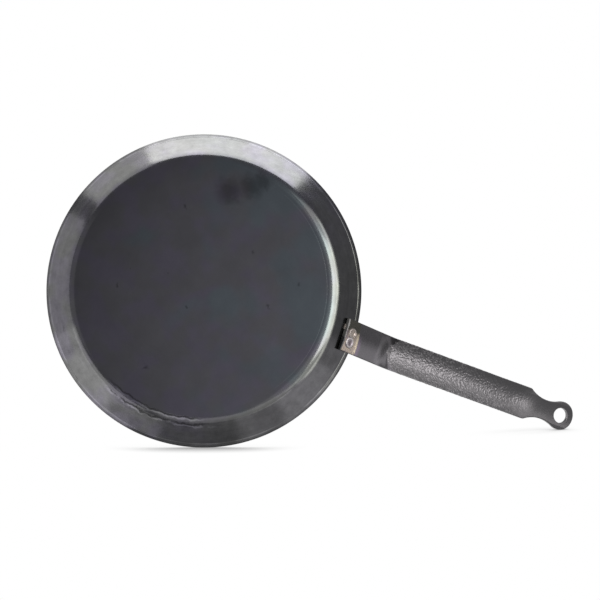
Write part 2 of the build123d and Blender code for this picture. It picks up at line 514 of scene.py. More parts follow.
@dataclass(frozen=True)
class HandleSteel:
    """The handle's steel: dark oxide on the root and the ends, heat tints round the welds on the flange, and
    painted shade and light on the flange's end, the edges, the root and the knee.
    """

    form: "StripForm"
    oxide: Colour = (0.0425, 0.0410, 0.0440)
    plum: Colour = (0.062, 0.052, 0.066)
    tan: Colour = (0.135, 0.115, 0.092)
    straw: Colour = (0.250, 0.215, 0.160)
    olive: Colour = (0.033, 0.0325, 0.027)
    # The flange's end is painted near black and dim grey, a painted shade
    end_shade_black: Colour = (0.008, 0.008, 0.009)
    dusk: Colour = (0.115, 0.113, 0.108)
    roughness: float = 0.22
    # The oxide's edge on the flange: how far it is past the rim, and how askew it runs across
    oxide_edge: float = 1.5
    oxide_skew: float = 0.11
    # Past that edge: the bare steel, the straw tint, and the flush of colour in the oxide
    bare_span: Span = (0.7, -0.5)
    straw_span: Span = (-3.4, -1.2)
    flush_start: Span = (0.2, 0.9)
    flush_end: Span = (5.0, 1.4)
    # Past the knee: where the coat begins, and past the flange's end: where it is painted black for shade
    onset_span: Span = (-19.0, -13.0)
    end_span: Span = (1.4, 0.5)
    # Across the strip
    olive_span: Span = (-3.2, -5.2)
    flush_span: Span = (-6.0, 2.0)
    painted_dark_patch_span: Span = (2.0, -5.0)
    root_upper_shade_span: Span = (1.0, -4.0)
    knee_lower_light_span: Span = (0.0, 5.0)
    end_shade_span: Span = (-4.0, 8.0)
    edge_shade_span: Span = (-0.55, -0.1)
    relief: float = 0.05

    def make(self) -> bpy.types.Material:
        """Make the material.

        Returns:
            The material.
        """
        finish = Finish("handle_steel")
        place = finish.place()
        along, across, _ = finish.chart("blank")
        speckle = finish.noise(place, 0.9, 4.0, 0.65, w=2.2)
        drift = finish.noise(place, 0.14, 3.0, 0.55, w=4.4)
        # Bare steel with the welds' heat on it, as far as the oxide's edge
        rim = along + self.form.root_length
        edge = rim - (self.oxide_edge + across * self.oxide_skew) + (drift - 0.5) * 2.2
        bare = edge.eased(*self.bare_span)
        shifted = across + (drift - 0.5) * 5.0
        heat = finish.mix(edge.eased(*self.straw_span), self.tan, self.straw)
        heat = finish.mix((speckle + drift * 0.4).eased(0.62, 0.86), heat, self.plum)
        heat = finish.mix(shifted.eased(*self.olive_span), heat, self.olive)
        flush = edge.eased(*self.flush_start) * edge.eased(*self.flush_end) * across.eased(*self.flush_span)
        colour = finish.mix(flush, self.oxide, self.plum)
        colour = finish.mix(bare, colour, heat)
        colour = finish.scaled(colour, 0.72 + speckle * 0.56)
        # Painted shade and light: a dark patch on the knee's upper side where the coat begins, the root's
        # upper side painted darker and the knee's lower side painted lighter
        onset = along.eased(*self.onset_span)
        smudge = onset * shifted.eased(*self.painted_dark_patch_span)
        upper = across.eased(*self.root_upper_shade_span) * (1.0 - onset)
        painted_lower_light = across.eased(*self.knee_lower_light_span) * onset
        colour = finish.scaled(colour, 1.0 + painted_lower_light * 0.3 - smudge * 0.5 - upper * 0.2)
        # Painted shade: the flange's end face and the gap behind it are painted near black and dim grey
        ragged = rim + self.form.flange_length + (speckle - 0.5) * 3.4 + (drift - 0.5) * 4.0
        end = ragged.eased(*self.end_span)
        black = (speckle * 0.7 + drift * 0.7 + across.eased(*self.end_shade_span) * 0.5).eased(0.82, 1.02)
        colour = finish.mix(end, colour, finish.mix(black, self.dusk, self.end_shade_black))
        # Painted shade: the strip's edges, where its underside turns up, are painted darker
        side = (abs(across) - self.form.width / 2).eased(*self.edge_shade_span)
        colour = finish.scaled(colour, 1.0 - side * 0.55)
        finish.set(
            Base_Color=colour,
            Metallic=1.0 - end * 0.9,
            Roughness=self.roughness + (speckle - 0.5) * 0.16 + end * 0.2 + bare * 0.04,
            Normal=finish.bump(speckle * (0.35 + bare * 0.65), self.relief, 0.6),
        )
        return finish.material


@dataclass(frozen=True)
class GripEpoxy:
    """Black epoxy, baked on: satin on the pebbles' tops, duller and dustier between them, with painted shade
    on its upper side and edges and painted light where it starts.
    """

    form: "StripForm"
    black: Colour = (0.012, 0.012, 0.013)
    grey: Colour = (0.098, 0.095, 0.098)
    worn: Colour = (0.260, 0.255, 0.260)
    roughness: float = 0.33
    # Along the strip: past the neck's middle, and past the knee
    smooth_span: Span = (-46.0, -6.0)
    upper_shade_along: Span = (35.0, 90.0)
    thin_span: Span = (4.0, -5.0)
    # Across it, and past its edge and the hanging hole's
    upper_shade_side: Span = (3.0, -4.0)
    start_light_side: Span = (-4.0, 3.0)
    worn_side: Span = (1.4, -0.6)
    edge_shade_span: Span = (-0.5, 0.0)
    hole_span: Span = (0.15, -0.1)
    relief: float = 0.10

    def make(self) -> bpy.types.Material:
        """Make the material.

        Returns:
            The material.
        """
        form = self.form
        finish = Finish("grip_epoxy")
        place = finish.place()
        along, across, _ = finish.chart("blank")
        fine = finish.noise(place, 1.7, 4.0, 0.65, w=6.3)
        dust = finish.noise(place, 0.75, 3.0, 0.6, w=9.9)
        drift = finish.noise(place, 0.06, 2.0, 0.5, w=2.9)
        smooth = (along - form.neck_middle()).eased(*self.smooth_span)
        speck = (dust + (fine - 0.5) * 0.5).eased(0.50, 0.68)
        # Painted shade: the upper side is given fewer specks further along the grip, so it is darker
        upper_painted_shade = along.eased(*self.upper_shade_along) * across.eased(*self.upper_shade_side)
        dusty = (1.0 - smooth * 0.95) * (1.0 - upper_painted_shade * 0.85)
        # Where the coat starts thin, its lower side is painted paler, a painted light; the upper side is left
        # dark
        painted_light_start = along.eased(*self.thin_span) * across.eased(*self.start_light_side)
        colour = finish.mix(speck * dusty * (0.55 + drift * 0.9) + painted_light_start * 0.7, self.black, self.grey)
        # Painted shade: the coat is painted darker at the strip's edges
        side = (abs(across) - form.width / 2).eased(*self.edge_shade_span)
        colour = finish.scaled(colour, 1.0 - side * 0.6)
        # The hanging hole's wall is rubbed bare on the one side
        off = along - form.ring_distance
        wall = ((off * off + across * across).root() - form.hole_diameter / 2).eased(*self.hole_span)
        colour = finish.mix(wall * across.eased(*self.worn_side), colour, self.worn)
        finish.set(
            Base_Color=colour,
            Roughness=self.roughness + (fine - 0.5) * 0.22 - smooth * 0.06,
            Specular_IOR_Level=0.5,
            Specular_Tint=(1.0, 0.97, 0.99, 1.0),
            Normal=finish.bump((fine * 0.6 + dust * 0.4) * (1.0 - smooth * 0.7), self.relief, 0.7),
        )
        return finish.material


@dataclass(frozen=True)
class WeldSteel:
    """Weld metal: a pale rim, a lilac-grey dish and a scorched middle, by each mark's own map."""

    pale: Colour = (0.18, 0.170, 0.168)
    lilac: Colour = (0.100, 0.087, 0.095)
    scorched: Colour = (0.058, 0.049, 0.052)
    shaded_tan: Colour = (0.112, 0.098, 0.084)
    roughness: float = 0.3
    # Across the strip: where the one mark is painted fainter, a painted shade
    shaded_mark_span: Span = (1.9, -0.3)
    relief: float = 0.12

    def make(self) -> bpy.types.Material:
        """Make the material.

        Returns:
            The material.
        """
        finish = Finish("weld_steel")
        place = finish.place()
        share, _, _ = finish.chart("ring")
        fine = finish.noise(place, 1.5, 4.0, 0.65, w=8.1)
        wander = share + (fine - 0.5) * 0.25
        # Painted shade: the mark on one side of the middle is painted fainter, its pale ring dimmed
        shaded_mark = finish.parts(place)[1].eased(*self.shaded_mark_span)
        colour = finish.mix(wander.eased(0.26, 0.52), self.scorched, self.lilac)
        colour = finish.mix(shaded_mark * 0.85, colour, self.shaded_tan)
        pale = wander.eased(0.60, 0.74) * wander.eased(1.02, 0.90) * (1.0 - shaded_mark * 0.8)
        colour = finish.mix(pale, colour, self.pale)
        finish.set(
            Base_Color=finish.scaled(colour, 0.55 + fine * 0.9),
            Metallic=1.0,
            Roughness=self.roughness + (fine - 0.5) * 0.3,
            Normal=finish.bump(fine, self.relief, 0.7),
        )
        return finish.material


def direction(angle: float) -> Array:
    """The unit vector, out from the axis and up, that rises at an angle in radians."""
    return np.array([math.cos(angle), math.sin(angle)])


def square_to(line: Array) -> Array:
    """A vector turned a quarter clockwise, so that it faces down and out from a line that goes out and up."""
    return np.array([line[1], -line[0]])


def upright(pair: Array) -> Array:
    """A place or direction out from the axis and up, as x, y and z along the handle."""
    return np.array([pair[0], 0.0, pair[1]])


def linked(name: str, data: bpy.types.ID) -> bpy.types.Object:
    """Make an object that carries some data.

    Args:
        name: The object's name.
        data: Its mesh, lamp or camera.

    Returns:
        The object, linked to the scene.
    """
    thing = bpy.data.objects.new(name, data)
    bpy.context.scene.collection.objects.link(thing)
    return thing


def face_outwards(mesh: bpy.types.Mesh) -> None:
    """Turn a mesh's faces outwards and shade them smooth.

    Args:
        mesh: A closed mesh.
    """
    shell = bmesh.new()
    shell.from_mesh(mesh)
    bmesh.ops.recalc_face_normals(shell, faces=shell.faces)
    shell.to_mesh(mesh)
    shell.free()
    mesh.polygons.foreach_set("use_smooth", [True] * len(mesh.polygons))
    mesh.update()


def points_of(piece: bpy.types.Object) -> Array:
    """Read where a piece's points are.

    Args:
        piece: The piece.

    Returns:
        The points in millimetres, one row each.
    """
    points = np.empty(len(piece.data.vertices) * 3)
    piece.data.vertices.foreach_get("co", points)
    return points.reshape(-1, 3) / MM


def move_points(piece: bpy.types.Object, points: Array) -> None:
    """Move a piece's points to places in millimetres, one row each."""
    piece.data.vertices.foreach_set("co", (points * MM).ravel())
    piece.data.update()


def piece_from(name: str, points: Array, faces: Sequence, chart: Array, chart_name: str) -> bpy.types.Object:
    """Make one mesh piece, with its faces pointing outwards.

    Args:
        name: The piece's name.
        points: Its points in millimetres, one row each.
        faces: The faces as rows of point numbers.
        chart: What the piece's own map holds for each point, in millimetres.
        chart_name: The name of that map.

    Returns:
        The piece, linked to the scene, at the origin.
    """
    mesh = bpy.data.meshes.new(name)
    mesh.from_pydata((points * MM).tolist(), [], faces)
    layer = mesh.uv_layers.new(name=chart_name)
    corners = np.empty(len(mesh.loops), dtype=np.int32)
    mesh.loops.foreach_get("vertex_index", corners)
    layer.data.foreach_set("uv", (chart[corners] * MM).astype(np.float32).ravel())
    face_outwards(mesh)
    return linked(name, mesh)


def seat(piece: bpy.types.Object, slot: Slot, material: bpy.types.Material, *nodes: str) -> None:
    """Dress a finished piece, hang it on the body and hide the CAD nodes that it stands for.

    Args:
        piece: The piece, in its place.
        slot: The record's slot that its finish stands for. It is not used.
        material: Its material.
        nodes: The CAD nodes that it stands for.
    """
    piece.data.materials.clear()
    piece.data.materials.append(material)
    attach(piece, BODY)
    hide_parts(*nodes)
    log.info("%s: %d faces", piece.name, len(piece.data.polygons))


class NodesModifier(Tree):
    """A Geometry Nodes tree with named inputs, which is run once and left as plain mesh."""

    def __init__(self, name: str) -> None:
        """Start a tree that takes a geometry and gives one back.

        Args:
            name: The tree's name.
        """
        self.group = bpy.data.node_groups.new(name, "GeometryNodeTree")
        super().__init__(self.group)
        self.group.interface.new_socket("Geometry", in_out="OUTPUT", socket_type="NodeSocketGeometry")
        self.group.interface.new_socket("Geometry", in_out="INPUT", socket_type="NodeSocketGeometry")
        self.given: dict[str, Value] = {}
        self.source: Optional[bpy.types.Node] = None

    def inputs(self, **values: Number) -> dict[str, Field]:
        """Args:
            values: What the modifier sets each of them to. An int makes a whole number input.

        Returns:
            The inputs as fields, by name.
        """
        for name, value in values.items():
            kind = "NodeSocketInt" if isinstance(value, int) else "NodeSocketFloat"
            self.group.interface.new_socket(name, in_out="INPUT", socket_type=kind)
            self.given[name] = value
        self.source = self.node("NodeGroupInput")
        return {name: Field(self.tree, self.source.outputs[name]) for name in values}

    def geometry(self) -> Field:
        """The geometry that comes in."""
        return Field(self.tree, self.source.outputs["Geometry"])

    def finish(self, geometry: Field, material: bpy.types.Material) -> None:
        """End the tree with real meshes in one material.

        Args:
            geometry: What the tree has made.
            material: The material.
        """
        realized = self.field("GeometryNodeRealizeInstances", 0, values={0: geometry})
        values = {"Geometry": realized, "Material": material}
        painted = self.field("GeometryNodeSetMaterial", 0, values=values)
        self.node("NodeGroupOutput", values={"Geometry": painted})

    def run(self, piece: bpy.types.Object) -> None:
        """Run the tree on a piece and leave the result as its plain mesh, without the modifier.

        Args:
            piece: The piece that carries the tree's input geometry.
        """
        modifier = piece.modifiers.new(self.group.name, "NODES")
        modifier.node_group = self.group
        for item in self.group.interface.items_tree:
            if item.in_out == "INPUT" and item.name in self.given:
                modifier[item.identifier] = self.given[item.name]
        graph = bpy.context.evaluated_depsgraph_get()
        seen = piece.evaluated_get(graph)
        mesh = bpy.data.meshes.new_from_object(seen, preserve_all_data_layers=True, depsgraph=graph)
        piece.modifiers.remove(modifier)
        piece.data = mesh
        mesh.name = piece.name


@dataclass(frozen=True)
class PanForm:
    """The pressed pan: flat base, round corner, straight wall and narrow flared lip."""

    rim_diameter: float = 240.0
    wall_spread: float = 26.0
    height: float = 21.0
    steel: float = 2.0
    corner_radius: float = 14.0
    lip_width: float = 2.5
    lip_flare: float = 7.0
    rim_rounding: float = 0.77
    ridge_height: float = 0.13
    ridge_width: float = 0.55
    groove_inset: float = 0.6
    groove_width: float = 1.0
    groove_depth: float = 0.07
    rim_setback: float = 0.5
    # How far the wall is off its true shape, and over what length
    waviness: float = 0.09
    wavelength: float = 30.0
    merge_distance: float = 0.001
    around: int = 720
    flat_rings: int = 24
    corner_rings: int = 13
    wall_rings: int = 12
    edge_rings: int = 6

    def rim_radius(self) -> float:
        """Half the rim's diameter."""
        return self.rim_diameter / 2

    def base_radius(self) -> float:
        """How far from the axis the flat base ends."""
        return self.rim_radius() - self.wall_spread

    def rim_corner(self, lip: float) -> tuple[float, float]:
        """The rim's outside corner, out from the axis and up, for a lip's slope in radians."""
        back = self.rim_setback * min(math.cos(lip), math.sin(lip))
        return self.rim_radius() + back, self.height + back - self.steel * math.cos(lip)

    def ridge(self, off: float) -> float:
        """How high the crease's ridge stands at a distance from the crease."""
        return self.ridge_height * math.exp(-((off / (0.45 * self.ridge_width)) ** 2))

    def slopes(self) -> tuple[float, float]:
        """The wall's and the lip's slopes, settled on each other.

        Returns:
            Both slopes in degrees.
        """
        run = self.wall_spread - self.lip_width
        wall = 45.0
        for _ in range(12):
            lip = math.radians(wall - self.lip_flare)
            out, up = self.rim_corner(lip)
            rise = up - (self.lip_width + out - self.rim_radius()) * math.tan(lip) - self.corner_radius
            wall = math.degrees(math.atan2(rise, run) + math.asin(self.corner_radius / math.hypot(run, rise)))
        return wall, wall - self.lip_flare

    def outer(self) -> dict[str, Array]:
        """The corners of the outside's outline.

        Returns:
            Each corner by its name, out from the axis and up.
        """
        wall, lip = (math.radians(slope) for slope in self.slopes())
        rim = self.rim_corner(lip)
        crease = self.rim_radius() - self.lip_width
        base, corner = self.base_radius(), self.corner_radius
        places = {
            "base": (base, 0.0),
            "bend": (base + corner * math.sin(wall), corner * (1 - math.cos(wall))),
            "crease": (crease, rim[1] - (rim[0] - crease) * math.tan(lip)),
            "rim": rim,
        }
        return {name: np.array(place) for name, place in places.items()}


@dataclass(frozen=True)
class StripFrame:
    """How the strip lies on its pan: places and unit directions, each out from the axis and up."""

    rim: Array
    along: Array
    outward: Array
    grip: Array
    knee: Array
    bend_middle: Array
    tangent: float
    seat_depth: float


@dataclass(frozen=True)
class StripForm:
    """The handle's strip and how it is formed. Places along it are measured from the knee."""

    pan: PanForm
    width: float = 25.0
    thickness: float = 3.5
    flange_length: float = 13.5
    root_length: float = 41.5
    grip_rise: float = 22.3
    knee_radius: float = 9.0
    ring_distance: float = 158.3
    ring_diameter: float = 22.2
    hole_diameter: float = 12.4
    neck_width: float = 15.3
    neck_radius: float = 28.0
    arch_rise: float = 2.6
    arch_start: float = -17.0
    arch_end: float = -1.0
    arch_fade: float = 34.0
    edge_rounding: float = 0.45
    shoulder_rounding: float = 0.35
    # The underside's crown on the root and the flange, and its dish on the neck and the ring
    crown: float = 0.8
    crown_run: float = 8.0
    dish: float = 0.8
    dish_reach: float = 8.5
    dish_start: float = 24.0
    dish_run: float = 20.0
    weld_inset: float = 6.4
    weld_pitch: float = 7.4
    weld_shift: float = 1.0
    # How its mesh is divided: columns across it, rows along it, and rings round the hanging hole
    columns: int = 33
    row_step: float = 0.9
    rings: int = 6

    def frame(self) -> StripFrame:
        """The strip's directions and main places, from the pan that carries it.

        Returns:
            All of them, in the plane through the axis and the handle.
        """
        slope = math.radians(self.pan.slopes()[0])
        grip = math.radians(self.grip_rise)
        rim = self.pan.outer()["rim"]
        along = direction(slope)
        outward = square_to(along)
        curve = (rim[0] - self.weld_inset * math.cos(slope)) / math.sin(slope)
        seat_depth = curve - math.sqrt(curve**2 - (self.width / 2) ** 2)
        knee = rim + outward * (self.thickness / 2 - seat_depth) + along * self.root_length
        tangent = self.knee_radius * math.tan((slope - grip) / 2)
        return StripFrame(
            rim=rim,
            along=along,
            outward=outward,
            grip=direction(grip),
            knee=knee,
            bend_middle=knee - along * tangent + outward * self.knee_radius,
            tangent=tangent,
            seat_depth=seat_depth,
        )

    def neck_middle(self) -> float:
        """How far from the knee the waist of the neck lies."""
        reach = self.ring_diameter / 2 + self.neck_radius
        return self.ring_distance - math.sqrt(reach**2 - (self.neck_width / 2 + self.neck_radius) ** 2)

    def rise(self, along: Array) -> Array:
        """The arch's rise.

        Args:
            along: Places along the strip.

        Returns:
            The rise at each of them.
        """
        onset = np.clip((along - self.arch_start) / (self.arch_end - self.arch_start), 0, 1)
        fade = np.clip((along - self.neck_middle() + self.arch_fade) / self.arch_fade, 0, 1)
        eased = fade**3 * (fade * (6 * fade - 15) + 10)
        return self.arch_rise * onset**2 * (3 - 2 * onset) * (1 - eased)

    def half_width(self, along: Array, skin: float = 0.0) -> Array:
        """Half the strip's width: straight, then the curve of the neck.

        Args:
            along: Places along the strip.
            skin: How far the sheet stands out from the bare strip.

        Returns:
            Half the width at each place.
        """
        half = self.width / 2 + skin
        curve = self.neck_radius - skin
        off = np.clip(along - self.neck_middle(), -curve, curve)
        neck = self.neck_width / 2 + self.neck_radius - np.sqrt(np.maximum(curve**2 - off**2, 0))
        # The stamped shoulder is a little round
        soft = self.shoulder_rounding
        shoulder = np.minimum(half, neck) - soft**2 * np.exp(-np.abs(half - neck) / soft)
        return np.where(along > self.neck_middle(), neck, shoulder)

    def formed(self, along: Array, across: Array, through: Array) -> Array:
        """Bend and arch places of the flat blank to their places on the formed strip.

        Args:
            along: Places along the blank, from the knee.
            across: Places across it.
            through: Places through its thickness, from its middle, upwards.

        Returns:
            One row of x, y and z in millimetres for each place.
        """
        known = self.frame()
        slope = math.atan2(known.along[1], known.along[0])
        turn = slope - math.radians(self.grip_rise)
        angle = slope - turn * np.clip((along + known.tangent) / (2 * known.tangent), 0, 1)
        up = np.stack([-np.sin(angle), np.cos(angle)], -1)
        straight = known.knee + np.where(along[:, None] < 0, known.along, known.grip) * along[:, None]
        bent = known.bend_middle + up * self.knee_radius
        line = np.where(np.abs(along)[:, None] < known.tangent, bent, straight)
        # The underside is crowned on the root and the flange, and dished on the neck and the ring
        past_neck = along - self.neck_middle()
        local = np.clip(self.half_width(along), self.neck_width / 2, self.dish_reach)
        local = np.where(past_neck < -self.dish_run, self.width / 2, local)
        share = np.clip(np.abs(across) / local, 0, 1) ** 2
        crowned = self.crown * np.clip(-along / self.crown_run, 0, 1) * share
        dished = self.dish * np.clip((past_neck + self.dish_start) / self.dish_run, 0, 1) * (1 - share)
        reach = float(np.abs(through).max())
        through = through * np.where(through < 0, 1 - (crowned + dished) / reach, 1)
        # The arch is a round bow over the strip's width, and is never quite flat, so that it has a radius
        rise = np.maximum(self.rise(along), 1e-4)
        bow = ((self.width / 2) ** 2 + rise**2) / (2 * rise)
        lift = rise - bow + np.sqrt((bow + through) ** 2 - across**2)
        place = line + up * lift[:, None]
        return np.stack([place[:, 0], across, place[:, 1]], -1)


class Pan:
    """The pan's body, turned from its outline with the slight unevenness of pressed sheet."""

    def __init__(self, form: PanForm, finish: BluedSteel) -> None:
        """Keep the form and the finish."""
        self.form = form
        self.finish = finish

    def outline(self) -> Array:
        """The closed outline from the middle of the underside, round the rim, to the middle of the floor.

        Returns:
            One row for each point: out from the axis, and up.
        """
        form = self.form
        wall, lip = (math.radians(slope) for slope in form.slopes())
        base, bend, crease, rim = form.outer().values()
        along_wall, along_lip = direction(wall), direction(lip)
        out_wall, out_lip = square_to(along_wall), square_to(along_lip)
        # The base's face ends in a fine groove just inside the corner
        groove = base[0] - form.groove_inset
        flat = np.linspace(0, groove - form.groove_width / 2, form.flat_rings)[:-1]
        points = [np.array([r, 0.0]) for r in flat]
        for share in np.linspace(-0.5, 0.5, 9):
            depth = form.groove_depth * math.cos(math.pi * share) ** 2
            points.append(np.array([groove + share * form.groove_width, depth]))
        centre = np.array([base[0], form.corner_radius])
        for angle in np.linspace(0, wall, form.corner_rings):
            points.append(centre + form.corner_radius * square_to(direction(angle)))
        # The straight wall, up to the fine ridge that the lip's crease leaves
        length = np.linalg.norm(crease - bend)
        ridge = form.ridge_width
        plain = np.linspace(0, length - 3 * ridge, form.wall_rings)[1:]
        for place in [*plain, *(length + ridge * np.linspace(-2, 0, 6)[:-1])]:
            points.append(bend + along_wall * place + out_wall * form.ridge(place - length))
        for place in np.linspace(0, 2 * ridge, 6):
            points.append(crease + along_lip * place + out_lip * form.ridge(place))
        # The rim's edge, rounded on both sides
        soft = form.rim_rounding
        outer_end = rim - along_lip * soft
        inner_end = outer_end - out_lip * form.steel
        quarter = np.linspace(0, math.pi / 2, form.edge_rings)
        for end, out, angles in ((outer_end, out_lip, quarter), (inner_end, -out_lip, quarter[::-1])):
            for angle in angles:
                points.append(end + soft * (out * (math.cos(angle) - 1) + along_lip * math.sin(angle)))
        # The inside follows the outside at the steel's thickness
        mitre = (out_wall + out_lip) / np.linalg.norm(out_wall + out_lip)
        inner_crease = crease - mitre * form.steel / math.cos((wall - lip) / 2)
        inner_bend = bend - out_wall * form.steel
        points += [inner_end + (inner_crease - inner_end) * share for share in (0.4, 0.8, 1.0)]
        down = inner_bend - inner_crease
        points += [inner_crease + down * share for share in np.linspace(0, 1, 10)[1:-1]]
        inner_radius = form.corner_radius - form.steel
        for angle in np.linspace(wall, 0, form.corner_rings):
            points.append(centre + inner_radius * square_to(direction(angle)))
        points += [np.array([r, form.steel]) for r in np.linspace(base[0], 0, form.flat_rings)[1:]]
        return np.array(points)

    def turning(self, count: int, material: bpy.types.Material) -> NodesModifier:
        """The tree that turns the outline about the axis and makes the sheet slightly uneven.

        Args:
            count: How many points the outline has.
            material: The pan's material.

        Returns:
            The tree, ready to run on the outline's mesh.
        """
        nodes = NodesModifier("pan_turning")
        form = self.form
        given = nodes.inputs(
            Around=form.around,
            Outline=count,
            Waviness=form.waviness * MM,
            Wavelength=form.wavelength * MM,
            Seed=4.0,
        )
        size = {"Size X": 1.0, "Size Y": 1.0, "Vertices X": given["Around"], "Vertices Y": given["Outline"]}
        sheet = nodes.field("GeometryNodeMeshGrid", "Mesh", values=size)
        index = nodes.field("GeometryNodeInputIndex", 0)
        # The little that is added keeps rounding from dropping a point into the turn before
        turn = (index / given["Outline"] + 1e-4).math("FLOOR")
        station = index - turn * given["Outline"]
        profile = nodes.node("GeometryNodeSampleIndex", {"data_type": "FLOAT_VECTOR"})
        nodes.tree.links.new(nodes.geometry().socket, profile.inputs["Geometry"])
        nodes.tree.links.new(nodes.field("GeometryNodeInputPosition", 0).socket, profile.inputs["Value"])
        nodes.tree.links.new(station.socket, profile.inputs["Index"])
        out, _, up = nodes.parts(Field(nodes.tree, profile.outputs[0]))
        angle = turn / (given["Around"] - 1.0) * (2 * math.pi)
        x, y = out * angle.math("COSINE"), out * angle.math("SINE")
        place = nodes.scaled(nodes.vector(x, y, up), 1.0 / given["Wavelength"])
        wave = nodes.noise(place, 1.0, 2.0, 0.45, w=given["Seed"])
        share = out / (form.rim_radius() * MM)
        fade = share.eased(1.0, 0.95) * share.eased(0.78, 0.84)
        lifted = nodes.vector(x, y, up + wave * given["Waviness"] * fade)
        moved = nodes.field("GeometryNodeSetPosition", 0, values={"Geometry": sheet, "Position": lifted})
        doubles = {"Geometry": moved, "Distance": form.merge_distance * MM}
        nodes.finish(nodes.field("GeometryNodeMergeByDistance", 0, values=doubles), material)
        return nodes

    def build(self) -> bpy.types.Object:
        """Build and dress the pan's body.

        Returns:
            The piece.
        """
        rows = [(out * MM, 0.0, up * MM) for out, up in self.outline()]
        material = self.finish.make()
        mesh = bpy.data.meshes.new("pan_sheet")
        mesh.from_pydata(rows, [(k, k + 1) for k in range(len(rows) - 1)], [])
        piece = linked("pan_sheet", mesh)
        self.turning(len(rows), material).run(piece)
        face_outwards(piece.data)
        seat(piece, Slot.BLUED_STEEL, material, "pan_body")
        return piece


@dataclass(frozen=True)
class Blank:
    """A flat blank as a mesh: its points, faces and closed edges."""

    points: Array
    faces: list[tuple[int, ...]]
    edges: list[list[int]]


